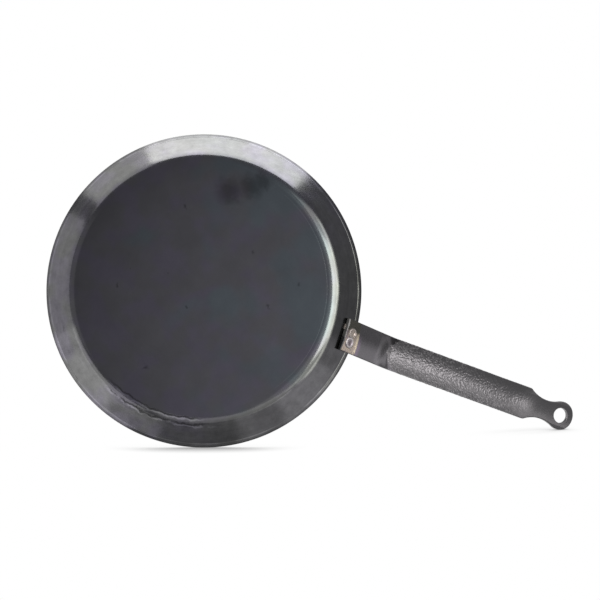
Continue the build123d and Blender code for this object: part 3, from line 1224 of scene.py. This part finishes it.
class FormedSheet:
    """A sheet of even thickness that is stamped from a blank and formed like the strip."""

    # How far in from the edges the outermost rows and rings are, and the columns, these as a share
    edge_room: float = 1.0
    edge_share: float = 0.1

    def __init__(self, form: StripForm, skin: float = 0.0) -> None:
        """Keep the form, and how far the sheet stands out from the bare strip all round."""
        self.form = form
        self.skin = skin

    def blank(self, start: Array, step: float, rings: int) -> Blank:
        """Divide the blank into rows along it, and into rays round the hanging hole.

        Args:
            start: Where each column of points starts along the strip.
            step: The distance from row to row.
            rings: How many rings of faces lie between the hole and the blank's outside.

        Returns:
            The blank.
        """
        form = self.form
        columns = len(start)
        centre = form.ring_distance
        radius = form.ring_diameter / 2 + self.skin
        line = centre - form.ring_diameter / 2
        half = float(form.half_width(np.array([line]), self.skin)[0])
        spread = math.atan2(half, centre - line)
        rays = np.linspace(-spread, spread, columns)
        shares = np.tan(rays) / math.tan(spread)
        # The outermost rows and columns leave room for the round edges
        shares[1:-1] *= (1 - self.edge_share) / shares[-2]
        length = line - float(np.mean(start))
        rows = int(length / step) + 1
        first = self.edge_room / length
        points: list[tuple[float, float]] = []
        for row in range(rows + 1):
            share = first + (1 - first) * (row - 1) / (rows - 1) if row else 0.0
            places = start + (line - start) * share
            widths = form.half_width(places, self.skin)
            points += list(zip(places, shares * widths))
        faces = []
        for row in range(rows):
            for column in range(columns - 1):
                corner = row * columns + column
                faces.append((corner, corner + columns, corner + columns + 1, corner + 1))
        # Rays on from the last row, and right round the ring
        outer = list(range(rows * columns, (rows + 1) * columns))
        sweep = 2 * (math.pi - spread)
        count = int(sweep * radius / step)
        for k in range(1, count):
            outer.append(len(points))
            points.append(self.rim_place(sweep / 2 - sweep * k / count))
        hole = form.hole_diameter / 2 - self.skin
        edge = self.edge_room / (radius - hole)
        ring = outer
        for level in range(1, rings + 1):
            share = edge + (1 - 2 * edge) * (level - 1) / (rings - 2) if level < rings else 1.0
            inner = []
            for number in outer:
                x, y = points[number][0] - centre, points[number][1]
                reach = math.hypot(x, y)
                scale = (reach + (hole - reach) * share) / reach
                inner.append(len(points))
                points.append((centre + x * scale, y * scale))
            for k in range(len(ring)):
                after = (k + 1) % len(ring)
                faces.append((ring[k], inner[k], inner[after], ring[after]))
            ring = inner
        left = [row * columns for row in range(rows + 1)]
        right = [row * columns + columns - 1 for row in range(rows + 1)]
        outside = list(range(columns)) + right[1:] + outer[columns:] + left[::-1][:-1]
        return Blank(np.array(points), faces, [outside[::-1], ring])

    def rim_place(self, angle: float) -> tuple[float, float]:
        """Where a ray from the hole's middle leaves the blank, on the ring's or the neck's edge.

        Args:
            angle: The ray's angle from the handle's far end.

        Returns:
            The place along and across the blank.
        """
        form = self.form
        radius = form.ring_diameter / 2 + self.skin
        curve = form.neck_radius - self.skin
        side = 1.0 if angle > 0 else -1.0
        offset = (form.neck_middle() - form.ring_distance, side * (form.neck_width / 2 + form.neck_radius))
        joint = math.atan2(abs(offset[1]), offset[0])
        if abs(angle) < joint:
            return form.ring_distance + radius * math.cos(angle), radius * math.sin(angle)
        # The ray meets the neck's round edge
        ray = (math.cos(angle), math.sin(angle))
        toward = ray[0] * offset[0] + ray[1] * offset[1]
        square = offset[0] ** 2 + offset[1] ** 2 - curve**2
        reach = toward - math.sqrt(max(toward**2 - square, 0.0))
        return form.ring_distance + ray[0] * reach, ray[1] * reach

    def solid(self, name: str, blank: Blank, turns: int = 5) -> bpy.types.Object:
        """Give the blank its thickness and its round edges, and form it.

        Args:
            name: The piece's name.
            blank: The flat blank.
            turns: How many faces go round each edge.

        Returns:
            The piece.
        """
        thickness = self.form.thickness + 2 * self.skin
        soft = self.form.edge_rounding + self.skin
        flat = blank.points
        count = len(flat)
        inset = flat.copy()
        normals = {}
        for edge in blank.edges:
            loop = flat[edge]
            chord = np.roll(loop, -1, 0) - np.roll(loop, 1, 0)
            normal = np.stack([chord[:, 1], -chord[:, 0]], -1)
            normal /= np.linalg.norm(normal, axis=1)[:, None]
            normals[edge[0]] = normal
            inset[edge] = loop - normal * soft
        plan = [inset, inset]
        through = [np.full(count, thickness / 2), np.full(count, -thickness / 2)]
        faces = [tuple(reversed(face)) for face in blank.faces]
        faces += [tuple(corner + count for corner in face) for face in blank.faces]
        used = 2 * count
        for edge in blank.edges:
            normal = normals[edge[0]]
            above = list(edge)
            for step in range(1, 2 * turns + 2):
                upper = step <= turns
                angle = math.pi / 2 * (step if upper else 2 * turns + 1 - step) / turns
                height = thickness / 2 - soft * (1 - math.cos(angle))
                level = height if upper else -height
                if step == 2 * turns + 1:
                    below = [corner + count for corner in edge]
                else:
                    below = list(range(used, used + len(edge)))
                    used += len(edge)
                    plan.append(flat[edge] - normal * soft * (1 - math.sin(angle)))
                    through.append(np.full(len(edge), level))
                for k in range(len(edge)):
                    after = (k + 1) % len(edge)
                    faces.append((above[k], above[after], below[after], below[k]))
                above = below
        places = np.concatenate(plan)
        heights = np.concatenate(through)
        formed = self.form.formed(places[:, 0], places[:, 1], heights)
        return piece_from(name, formed, faces, places, "blank")


@dataclass(frozen=True)
class CoatForm:
    """The epoxy on the grip, the neck and the ring. Places along it are measured from the knee."""

    skin: float = 0.25
    # It starts at a bow across the strip: where the bow is, its middle across, its half width and its rise
    start: float = -9.0
    bow_middle: float = -1.0
    bow_half: float = 8.6
    bow_rise: float = 3.0
    # Where the pebbles come through the steel's face, and how much more that line is bowed
    onset: float = -6.0
    onset_rise: float = 4.5
    pebble: float = 1.25
    depth: float = 0.21
    thickness: float = 0.24
    # How far the coat is drawn in at its start, as a share of its thickness, and where that ends
    thin_share: float = 1.6
    thin_span: Span = (5.0, -1.0)
    onset_span: Span = (-2.0, 2.0)
    # How deep the pebbles are on the ring, as a share, and where they deepen, from the neck's middle
    ring_share: float = 0.12
    fade_span: Span = (-10.0, -46.0)
    # How its mesh is divided, as the strip's is
    columns: int = 61
    row_step: float = 0.42
    rings: int = 14

    def bow(self, across: Union[Array, Field]) -> Union[Array, Field]:
        """How far the coat's start is bowed at places across the strip, as a share of its rise."""
        off = (across - self.bow_middle) / self.bow_half
        return off * off


class Handle:
    """The formed strip and its grip's coat."""

    def __init__(self, form: StripForm, coat: CoatForm) -> None:
        """Keep the forms of the strip and of its coat."""
        self.form = form
        self.coat = coat

    def build_strip(self, finish: HandleSteel) -> bpy.types.Object:
        """Build and dress the steel strip.

        Args:
            finish: The strip's finish.

        Returns:
            The piece.
        """
        form = self.form
        start = np.full(form.columns, -(form.root_length + form.flange_length))
        sheet = FormedSheet(form)
        piece = sheet.solid("strip", sheet.blank(start, form.row_step, form.rings))
        self.bear_on_wall(piece)
        seat(piece, Slot.HANDLE_STEEL, finish.make(), "handle_strip")
        return piece

    def bear_on_wall(self, piece: bpy.types.Object, clear: float = 0.02) -> None:
        """Press the flange's inner face against the wall and the lip, wherever it would sink into them.

        Args:
            piece: The strip.
            clear: How far the pressed face stays from the pan.
        """
        points = points_of(piece)
        outward = upright(self.form.frame().outward)
        corners = self.form.pan.outer()
        for _ in range(4):
            place = np.stack([np.hypot(points[:, 0], points[:, 1]), points[:, 2]], -1)
            depth = np.full(len(points), np.inf)
            for start, end in (("bend", "crease"), ("crease", "rim")):
                line = corners[end] - corners[start]
                run = line / np.linalg.norm(line)
                off = place - corners[start]
                along = off @ run
                distance = off @ square_to(run)
                near = (along > -1) & (along < np.linalg.norm(line))
                near &= distance > -self.form.pan.steel / 2
                depth = np.where(near, np.minimum(depth, distance), depth)
            sunk = depth < clear
            points[sunk] += outward * (clear - depth[sunk])[:, None]
        move_points(piece, points)

    def build_coat(self, finish: GripEpoxy) -> bpy.types.Object:
        """Build and dress the pebbled coat on the grip, the neck and the ring.

        Args:
            finish: The coat's finish.

        Returns:
            The piece.
        """
        coat = self.coat
        half = self.form.width / 2
        start = coat.start + coat.bow(np.linspace(-half, half, coat.columns)) * coat.bow_rise
        sheet = FormedSheet(self.form, coat.skin)
        piece = sheet.solid("grip_coat", sheet.blank(start, coat.row_step, coat.rings))
        material = finish.make()
        self.pebbling(material).run(piece)
        seat(piece, Slot.GRIP_EPOXY, material, "grip_coating")
        return piece

    def pebbling(self, material: bpy.types.Material) -> NodesModifier:
        """The tree that presses the coat in between its pebbles, and thins it to nothing at its start.

        Args:
            material: The coat's material.

        Returns:
            The tree, ready to run on the coat's mesh.
        """
        coat = self.coat
        nodes = NodesModifier("coat_pebbling")
        given = nodes.inputs(
            Depth=coat.depth * MM,
            Thickness=coat.thickness * MM,
            Pebble=coat.pebble * MM,
            Ring=coat.ring_share,
            Seed=7.0,
        )
        blank = nodes.field(
            "GeometryNodeInputNamedAttribute", "Attribute", {"data_type": "FLOAT_VECTOR"}, {"Name": "blank"}
        )
        along, across, _ = nodes.parts(nodes.scaled(blank, 1 / MM))
        place = nodes.scaled(nodes.field("GeometryNodeInputPosition", 0), 1.0 / given["Pebble"])
        cells = nodes.field(
            "ShaderNodeTexVoronoi",
            "Distance",
            {"voronoi_dimensions": "4D", "feature": "F1"},
            {"Vector": place, "W": given["Seed"], "Scale": 1.0, "Randomness": 1.0},
        )
        inside = along - (coat.bow(across) * coat.onset_rise + coat.onset)
        grip = (along - self.form.neck_middle()).eased(*coat.fade_span)
        depth = given["Depth"] * (given["Ring"] + grip * (1.0 - given["Ring"]))
        pressed = cells.eased(0.12, 0.75) * depth * inside.eased(*coat.onset_span)
        # At its start the coat runs out under the steel's face, so only its pebbles come through
        most = given["Thickness"] * coat.thin_share
        inward = (pressed + most * inside.eased(*coat.thin_span)).at_most(most)
        offset = nodes.scaled(nodes.field("GeometryNodeInputNormal", 0), inward * -1.0)
        values = {"Geometry": nodes.geometry(), "Offset": offset}
        nodes.finish(nodes.field("GeometryNodeSetPosition", 0, values=values), material)
        return nodes


@dataclass(frozen=True)
class Panel:
    """One soft panel of light that hangs round the object.

    Its bearing is clockwise from the picture's right, and forward is how far it stands towards the camera.
    Wide and tall are the angles that it fills, round the pan and towards the camera, and its radiance is
    how bright it looks, where 1 is white.
    """

    name: str
    lit: Subject
    bearing: float
    forward: float
    wide: float
    tall: float
    radiance: float
    tint: Tint
    distance: float = 900.0


PANELS: tuple[Panel, ...] = (
    Panel("overhead", Subject.PAN, 278, -10, 59, 40, 12.9, Tint.PLAIN),
    Panel("upper_left", Subject.PAN, 235, -4, 27, 44, 3.9, Tint.WARM),
    Panel("left", Subject.PAN, 187, 0, 52, 44, 2.3, Tint.WARM),
    Panel("left_front", Subject.PAN, 192, 38, 44, 26, 0.6, Tint.WARM),
    Panel("lower_left", Subject.PAN, 146, -1, 26, 24, 2.9, Tint.WARM),
    Panel("lower_left_soft", Subject.PAN, 139, -1, 58, 24, 1.8, Tint.WARM),
    Panel("lower_left_front", Subject.PAN, 146, 20, 46, 24, 3.6, Tint.WARM),
    Panel("below", Subject.PAN, 78, 40, 60, 30, 1.6, Tint.WARM),
    Panel("lower_right", Subject.PAN, 42, 8, 26, 44, 1.5, Tint.MELLOW),
    Panel("lower_right_soft", Subject.PAN, 46, 8, 58, 44, 1.1, Tint.MELLOW),
    Panel("below_low", Subject.PAN, 92, 14, 50, 12, 0.6, Tint.WARM),
    Panel("right", Subject.PAN, 12, 21, 46, 14, 4.4, Tint.LEAFY),
    Panel("right_upper", Subject.PAN, 340, 20, 34, 14, 6.0, Tint.LEAFY),
    Panel("front_right", Subject.PAN, 353, 38, 40, 30, 9.6, Tint.LEAFY),
    Panel("front_right_soft", Subject.PAN, 355, 37, 74, 34, 3.0, Tint.LEAFY),
    Panel("front_right_wide", Subject.PAN, 2, 62, 66, 20, 0.65, Tint.WARM),
    Panel("grip_edge", Subject.HANDLE, 10, 23, 10.5, 9, 36.0, Tint.MELLOW, 440),
    Panel("grip_soft", Subject.HANDLE, 336.5, 32, 49, 42, 2.7, Tint.MELLOW),
    Panel("root_low", Subject.HANDLE, 22, -2, 13, 22, 2.6, Tint.MELLOW),
    Panel("root_end", Subject.HANDLE, 4.5, -20, 25, 27, 1.7, Tint.MELLOW),
    Panel("knee", Subject.HANDLE, -1, 9, 12, 12, 1.3, Tint.MELLOW),
)


@dataclass(frozen=True)
class Studio:
    """The camera, the lamps and the pale ground of the photograph."""

    lens: float = 132.0
    sensor: float = 36.0
    nearest: float = 50.0
    furthest: float = 50000.0
    camera_place: Place = (91.08, 149.1, -1649.21)
    right: Place = (0.95124, -0.30785, -0.01935)
    down: Place = (0.30825, 0.94637, 0.09674)
    ahead: Place = (-0.01147, -0.09799, 0.99512)
    # How bright the white world is on matt surfaces
    room: float = 0.55
    # The contact shadow: how near the object has to be, and how bright the ground stays in it
    shadow_reach: float = 28.0
    shadow_floor: float = 0.25
    resting_half: float = 3000.0
    resting_drop: float = 0.2
    # The ground under the rim that the pan stands on in the photograph: where they touch, the way that
    # it goes back, and its corners along the picture and back
    touch: Place = (37.1, 114.1, 19.6)
    back: Place = (-0.036, -0.175, 0.984)
    standing_corners: tuple[tuple[float, float], ...] = ((340, -110), (340, 150), (-220, 150), (-220, -110))

    def add_camera(self) -> None:
        """Stand the camera where the photograph was taken from."""
        data = bpy.data.cameras.new("camera")
        data.lens = self.lens
        data.sensor_width = self.sensor
        data.clip_start = self.nearest * MM
        data.clip_end = self.furthest * MM
        camera = linked("camera", data)
        right, down, ahead = (Vector(axis).normalized() for axis in (self.right, self.down, self.ahead))
        turn = Matrix((right, -down, -ahead)).transposed()
        camera.matrix_world = Matrix.Translation(Vector(self.camera_place) * MM) @ turn.to_4x4()
        bpy.context.scene.camera = camera

    def toward(self, panel: Panel) -> Vector:
        """The direction from the pan to a panel.

        Args:
            panel: The panel.

        Returns:
            A unit vector.
        """
        turn, tilt = math.radians(panel.bearing), math.radians(panel.forward)
        side = Vector(self.right) * math.cos(turn) + Vector(self.down) * math.sin(turn)
        return (side * math.cos(tilt) - Vector(self.ahead) * math.sin(tilt)).normalized()

    def add_panel(self, panel: Panel) -> None:
        """Hang one panel of light, aimed at the pan's middle.

        Args:
            panel: The panel.
        """
        data = bpy.data.lights.new(panel.name, "AREA")
        data.shape = "RECTANGLE"
        data.size = 2 * panel.distance * MM * math.tan(math.radians(panel.wide / 2))
        data.size_y = 2 * panel.distance * MM * math.tan(math.radians(panel.tall / 2))
        data.energy = panel.radiance * math.pi * data.size * data.size_y
        data.color = panel.tint.value
        lamp = linked(panel.name, data)
        toward = self.toward(panel)
        side = toward.cross(Vector(self.ahead)).normalized()
        turn = Matrix((side, toward.cross(side).normalized(), toward)).transposed()
        lamp.matrix_world = Matrix.Translation(toward * panel.distance * MM) @ turn.to_4x4()
        lamp.visible_camera = False
        lamp.light_linking.receiver_collection = self.flagged(panel.lit)

    def flagged(self, subject: Subject) -> bpy.types.Collection:
        """The pieces that a subject's panels fall on."""
        found = bpy.data.collections.get(subject.value)
        return found or bpy.data.collections.new(subject.value)

    def light(self, subject: Subject, *pieces: bpy.types.Object) -> None:
        """Let a subject's panels fall on some pieces."""
        for piece in pieces:
            self.flagged(subject).objects.link(piece)

    def add_world(self) -> None:
        """A white world for what the camera and reflections see, and a dimmer one for matt surfaces."""
        world = bpy.data.worlds.new("studio")
        bpy.context.scene.world = world
        world.use_nodes = True
        nodes = Tree(world.node_tree)
        path = nodes.node("ShaderNodeLightPath")
        seen = Field(nodes.tree, path.outputs["Is Camera Ray"])
        for kind in ("Is Glossy Ray", "Is Transmission Ray"):
            seen = seen.at_least(Field(nodes.tree, path.outputs[kind]))
        values = {"Color": (1.0, 1.0, 1.0, 1.0), "Strength": self.room + seen * (1.0 - self.room)}
        light = nodes.field("ShaderNodeBackground", 0, values=values)
        nodes.node("ShaderNodeOutputWorld", values={"Surface": light})

    def ground_material(self, name: str) -> bpy.types.Material:
        """White ground that is seen from its front only and keeps the shadow where the object touches it.

        Args:
            name: The material's name.

        Returns:
            The material.
        """
        material = bpy.data.materials.new(name)
        material.use_nodes = True
        nodes = Tree(material.node_tree)
        spot = {"Color": (1.0, 1.0, 1.0, 1.0), "Distance": self.shadow_reach * MM}
        open_sky = nodes.field("ShaderNodeAmbientOcclusion", "AO", {"samples": 24}, spot)
        glow = open_sky.eased(0.0, 0.98) * (1.0 - self.shadow_floor) + self.shadow_floor
        lit = nodes.field("ShaderNodeEmission", 0, values={"Color": glow, "Strength": 1.0})
        clear = nodes.field("ShaderNodeBsdfTransparent", 0)
        hidden = nodes.field("ShaderNodeNewGeometry", "Backfacing")
        shown = nodes.field("ShaderNodeMixShader", 0, values={0: hidden, 1: lit, 2: clear})
        nodes.node("ShaderNodeOutputMaterial", values={"Surface": shown})
        return material

    def add_ground(self, name: str, corners: Sequence[Vector], material: bpy.types.Material) -> None:
        """Lay one flat piece of ground that only the camera sees.

        Args:
            name: The ground's name.
            corners: Its four corners in millimetres, in turn, so that its front faces the object.
            material: Its material.
        """
        mesh = bpy.data.meshes.new(name)
        mesh.from_pydata([tuple(corner * MM) for corner in corners], [], [(0, 1, 2, 3)])
        mesh.materials.append(material)
        ground = linked(name, mesh)
        for rays in ("diffuse", "glossy", "transmission", "volume_scatter", "shadow"):
            setattr(ground, "visible_" + rays, False)

    def build(self) -> None:
        """Set the studio up: camera, world, lamps and ground."""
        self.add_camera()
        self.add_world()
        for panel in PANELS:
            self.add_panel(panel)
        white = self.ground_material("ground")
        half = self.resting_half
        sides = ((-half, -half), (half, -half), (half, half), (-half, half))
        self.add_ground("resting_ground", [Vector((x, y, -self.resting_drop)) for x, y in sides], white)
        right, back, touch = Vector(self.right), Vector(self.back), Vector(self.touch)
        standing = [touch + right * x + back * z for x, z in self.standing_corners]
        self.add_ground("standing_ground", standing, white)
        log.info("studio: camera, world, %d panels and ground", len(PANELS))


@dataclass(frozen=True)
class WeldMark:
    """One spot weld as it shows on the flange: a raised ring round a dish, and how they repeat."""

    radius: float = 4.2
    # Corners of its section: how far out and how high, as shares of the radius and of the ring's rise
    section_shares: tuple[tuple[float, float], ...] = (
        (0.0, -0.9),
        (0.14, -0.85),
        (0.3, -0.6),
        (0.46, -0.25),
        (0.60, 0.35),
        (0.70, 0.85),
        (0.80, 1.0),
        (0.89, 0.8),
        (0.95, 0.25),
        (1.0, -0.5),
    )
    rise: float = 0.24
    pocket_depth: float = 0.5
    pocket_share: float = 0.8
    # How many there are, and how they differ: each is larger than the last by a share, turned and uneven
    count: int = 2
    spread_share: float = 0.08
    most_turn: float = 6.0
    unevenness: float = 0.12
    around: int = 48

    def mesh(self) -> tuple[Array, list[tuple[int, ...]], Array]:
        """One mark about its own middle.

        Returns:
            Its points, its faces and, for each point, its share of the radius and its height.
        """
        turns = np.linspace(0, 2 * math.pi, self.around, endpoint=False)
        points = [(0.0, 0.0, self.section_shares[0][1] * self.rise)]
        chart = [(0.0, points[0][2])]
        for out, up in self.section_shares[1:]:
            for turn in turns:
                reach = out * self.radius
                points.append((reach * math.cos(turn), reach * math.sin(turn), up * self.rise))
                chart.append((out, up * self.rise))
        faces: list[tuple[int, ...]] = []
        for k in range(self.around):
            after = (k + 1) % self.around
            faces.append((0, 1 + k, 1 + after))
            for ring in range(len(self.section_shares) - 2):
                low, high = 1 + ring * self.around, 1 + (ring + 1) * self.around
                faces.append((low + k, high + k, high + after, low + after))
        return np.array(points), faces, np.array(chart)


@dataclass(frozen=True)
class TackBead:
    """The tack: a short uneven bead of drops in the corner at the flange's end."""

    # Where it starts and ends across the flange
    start: float = -7.9
    end: float = -3.3
    radius: float = 1.55
    set_back: float = 0.25
    drops: float = 3.0
    # How thick it is between two drops, and how uneven, as shares of the radius
    waist_share: float = 0.55
    uneven_share: float = 0.05
    steps: int = 26
    turns: int = 14


class Welds:
    """The two spot welds in the flange's face and the tack at its end."""

    def __init__(self, form: StripForm, finish: WeldSteel) -> None:
        """Keep what the welds follow.

        Args:
            form: The strip's form.
            finish: The welds' finish.
        """
        self.form = form
        self.finish = finish
        self.mark = WeldMark()
        self.bead = TackBead()

    def spotting(self, material: bpy.types.Material) -> NodesModifier:
        """The tree that repeats a mark along the flange, makes each one uneven and lays it on the face.

        Args:
            material: The welds' material.

        Returns:
            The tree, ready to run on one mark's mesh.
        """
        form = self.form
        nodes = NodesModifier("weld_spotting")
        given = nodes.inputs(
            Count=self.mark.count,
            Pitch=form.weld_pitch * MM,
            Inset=form.weld_inset * MM,
            Shift=form.weld_shift * MM,
            Spread=self.mark.spread_share,
            Unevenness=self.mark.unevenness * MM,
            Seed=5,
        )
        first = given["Shift"] - given["Pitch"] * (given["Count"] - 1.0) / 2
        start = nodes.vector(given["Inset"] * -1.0, first, 0.0)
        step = nodes.vector(0.0, given["Pitch"], 0.0)
        values = {"Count": given["Count"], "Start Location": start, "Offset": step}
        line = nodes.field("GeometryNodeMeshLine", 0, values=values)
        turn = nodes.node("FunctionNodeRandomValue", {"data_type": "FLOAT_VECTOR"}, {"Seed": given["Seed"]})
        turn.inputs[0].default_value = (0.0, 0.0, 0.0)
        turn.inputs[1].default_value = (0.0, 0.0, self.mark.most_turn)
        index = nodes.field("GeometryNodeInputIndex", 0)
        size = 1.0 - given["Spread"] + index * given["Spread"]
        instances = {
            "Points": line,
            "Instance": nodes.geometry(),
            "Rotation": Field(nodes.tree, turn.outputs[0]),
            "Scale": nodes.vector(size, size, 1.0),
        }
        marks = nodes.field("GeometryNodeInstanceOnPoints", 0, values=instances)
        real = nodes.field("GeometryNodeRealizeInstances", 0, values={0: marks})
        along, across, high = nodes.parts(nodes.field("GeometryNodeInputPosition", 0))
        rough = nodes.noise(nodes.vector(along, across, 0.0), 0.7 / MM, 3.0, 0.6, w=3.3) - 0.5
        lifted = high + rough * given["Unevenness"]
        known = form.frame()
        run, out = known.along, known.outward
        face = (known.rim + out * (form.thickness - known.seat_depth)) * MM
        x, z = (along * run[k] + lifted * out[k] + face[k] for k in (0, 1))
        placed = nodes.vector(x, across, z)
        moved = nodes.field("GeometryNodeSetPosition", 0, values={"Geometry": real, "Position": placed})
        nodes.finish(moved, material)
        return nodes

    def build_marks(self, material: bpy.types.Material) -> bpy.types.Object:
        """Build the spot welds' marks.

        Args:
            material: The welds' material.

        Returns:
            The piece.
        """
        points, faces, chart = self.mark.mesh()
        piece = piece_from("weld_marks", points, faces, chart, "ring")
        self.spotting(material).run(piece)
        seat(piece, Slot.WELD_STEEL, material, "spot_welds")
        return piece

    def build_tack(self, material: bpy.types.Material) -> bpy.types.Object:
        """Build the tack's bead.

        Args:
            material: The welds' material.

        Returns:
            The piece.
        """
        bead = self.bead
        known = self.form.frame()
        run, out = upright(known.along), upright(known.outward)
        start = upright(known.rim - known.along * self.form.flange_length - known.outward * bead.set_back)
        points: list[Array] = []
        faces: list[tuple[int, ...]] = []
        chart: list[tuple[float, float]] = []
        for step in range(bead.steps + 1):
            share = step / bead.steps
            side = bead.start + (bead.end - bead.start) * share
            swell = abs(math.sin(math.pi * (0.04 + 0.92 * share) * bead.drops)) ** 0.5
            drop = bead.waist_share + (1 - bead.waist_share) * swell
            radius = bead.radius * drop * math.sin(math.pi * (0.03 + 0.94 * share)) ** 0.45
            for turn in range(bead.turns + 1):
                angle = math.pi / 2 * (-0.12 + 1.24 * turn / bead.turns)
                reach = radius * (1 + bead.uneven_share * math.sin(9.0 * share * math.pi + turn))
                place = start + (out * math.sin(angle) - run * math.cos(angle)) * reach
                points.append(place + np.array([0.0, side, 0.0]))
                chart.append((0.62 + 0.3 * abs(2 * share - 1), 0.0))
        # The bead's face, its two ends, and its back against the wall and the flange's end
        across = bead.turns + 1
        rows = [[step * across + turn for turn in range(across)] for step in range(bead.steps + 1)]
        for row, after in zip(rows, rows[1:]):
            for k in range(bead.turns):
                faces.append((row[k], after[k], after[k + 1], row[k + 1]))
        faces += [tuple(rows[0]), tuple(reversed(rows[-1]))]
        faces += [(row[0], row[-1], after[-1], after[0]) for row, after in zip(rows, rows[1:])]
        piece = piece_from("tack_bead", np.array(points), faces, np.array(chart), "ring")
        seat(piece, Slot.WELD_STEEL, material, "tack_weld")
        return piece

    def sink(self, strip: bpy.types.Object) -> None:
        """Sink the flange's face under each mark, so that the dish shows.

        Args:
            strip: The strip.
        """
        form = self.form
        known = form.frame()
        points = points_of(strip)
        run, out = upright(known.along), upright(known.outward)
        off = points - upright(known.rim)
        outer = off @ out > form.thickness / 2
        for number in range(self.mark.count):
            middle = form.weld_shift + (number - (self.mark.count - 1) / 2) * form.weld_pitch
            distance = np.hypot(off @ run + form.weld_inset, points[:, 1] - middle)
            inside = outer & (distance < self.mark.radius * self.mark.pocket_share)
            points[inside] -= out * self.mark.pocket_depth
        move_points(strip, points)

    def build(self, strip: bpy.types.Object) -> list[bpy.types.Object]:
        """Build and dress the welds.

        Args:
            strip: The strip that they hold.

        Returns:
            The pieces.
        """
        material = self.finish.make()
        self.sink(strip)
        return [self.build_marks(material), self.build_tack(material)]


def main() -> None:
    """Build the studio and the pan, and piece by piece."""
    logging.basicConfig(level=logging.INFO, format="%(name)s %(message)s")
    bpy.context.scene.view_settings.view_transform = "Standard"
    studio = Studio()
    studio.build()
    pan_form = PanForm()
    strip_form = StripForm(pan_form)
    pan = Pan(pan_form, BluedSteel(pan_form)).build()
    handle = Handle(strip_form, CoatForm())
    strip = handle.build_strip(HandleSteel(strip_form))
    coat = handle.build_coat(GripEpoxy(strip_form))
    welds = Welds(strip_form, WeldSteel()).build(strip)
    studio.light(Subject.PAN, pan)
    studio.light(Subject.HANDLE, strip, coat, *welds)


if __name__ == "__main__":
    main()
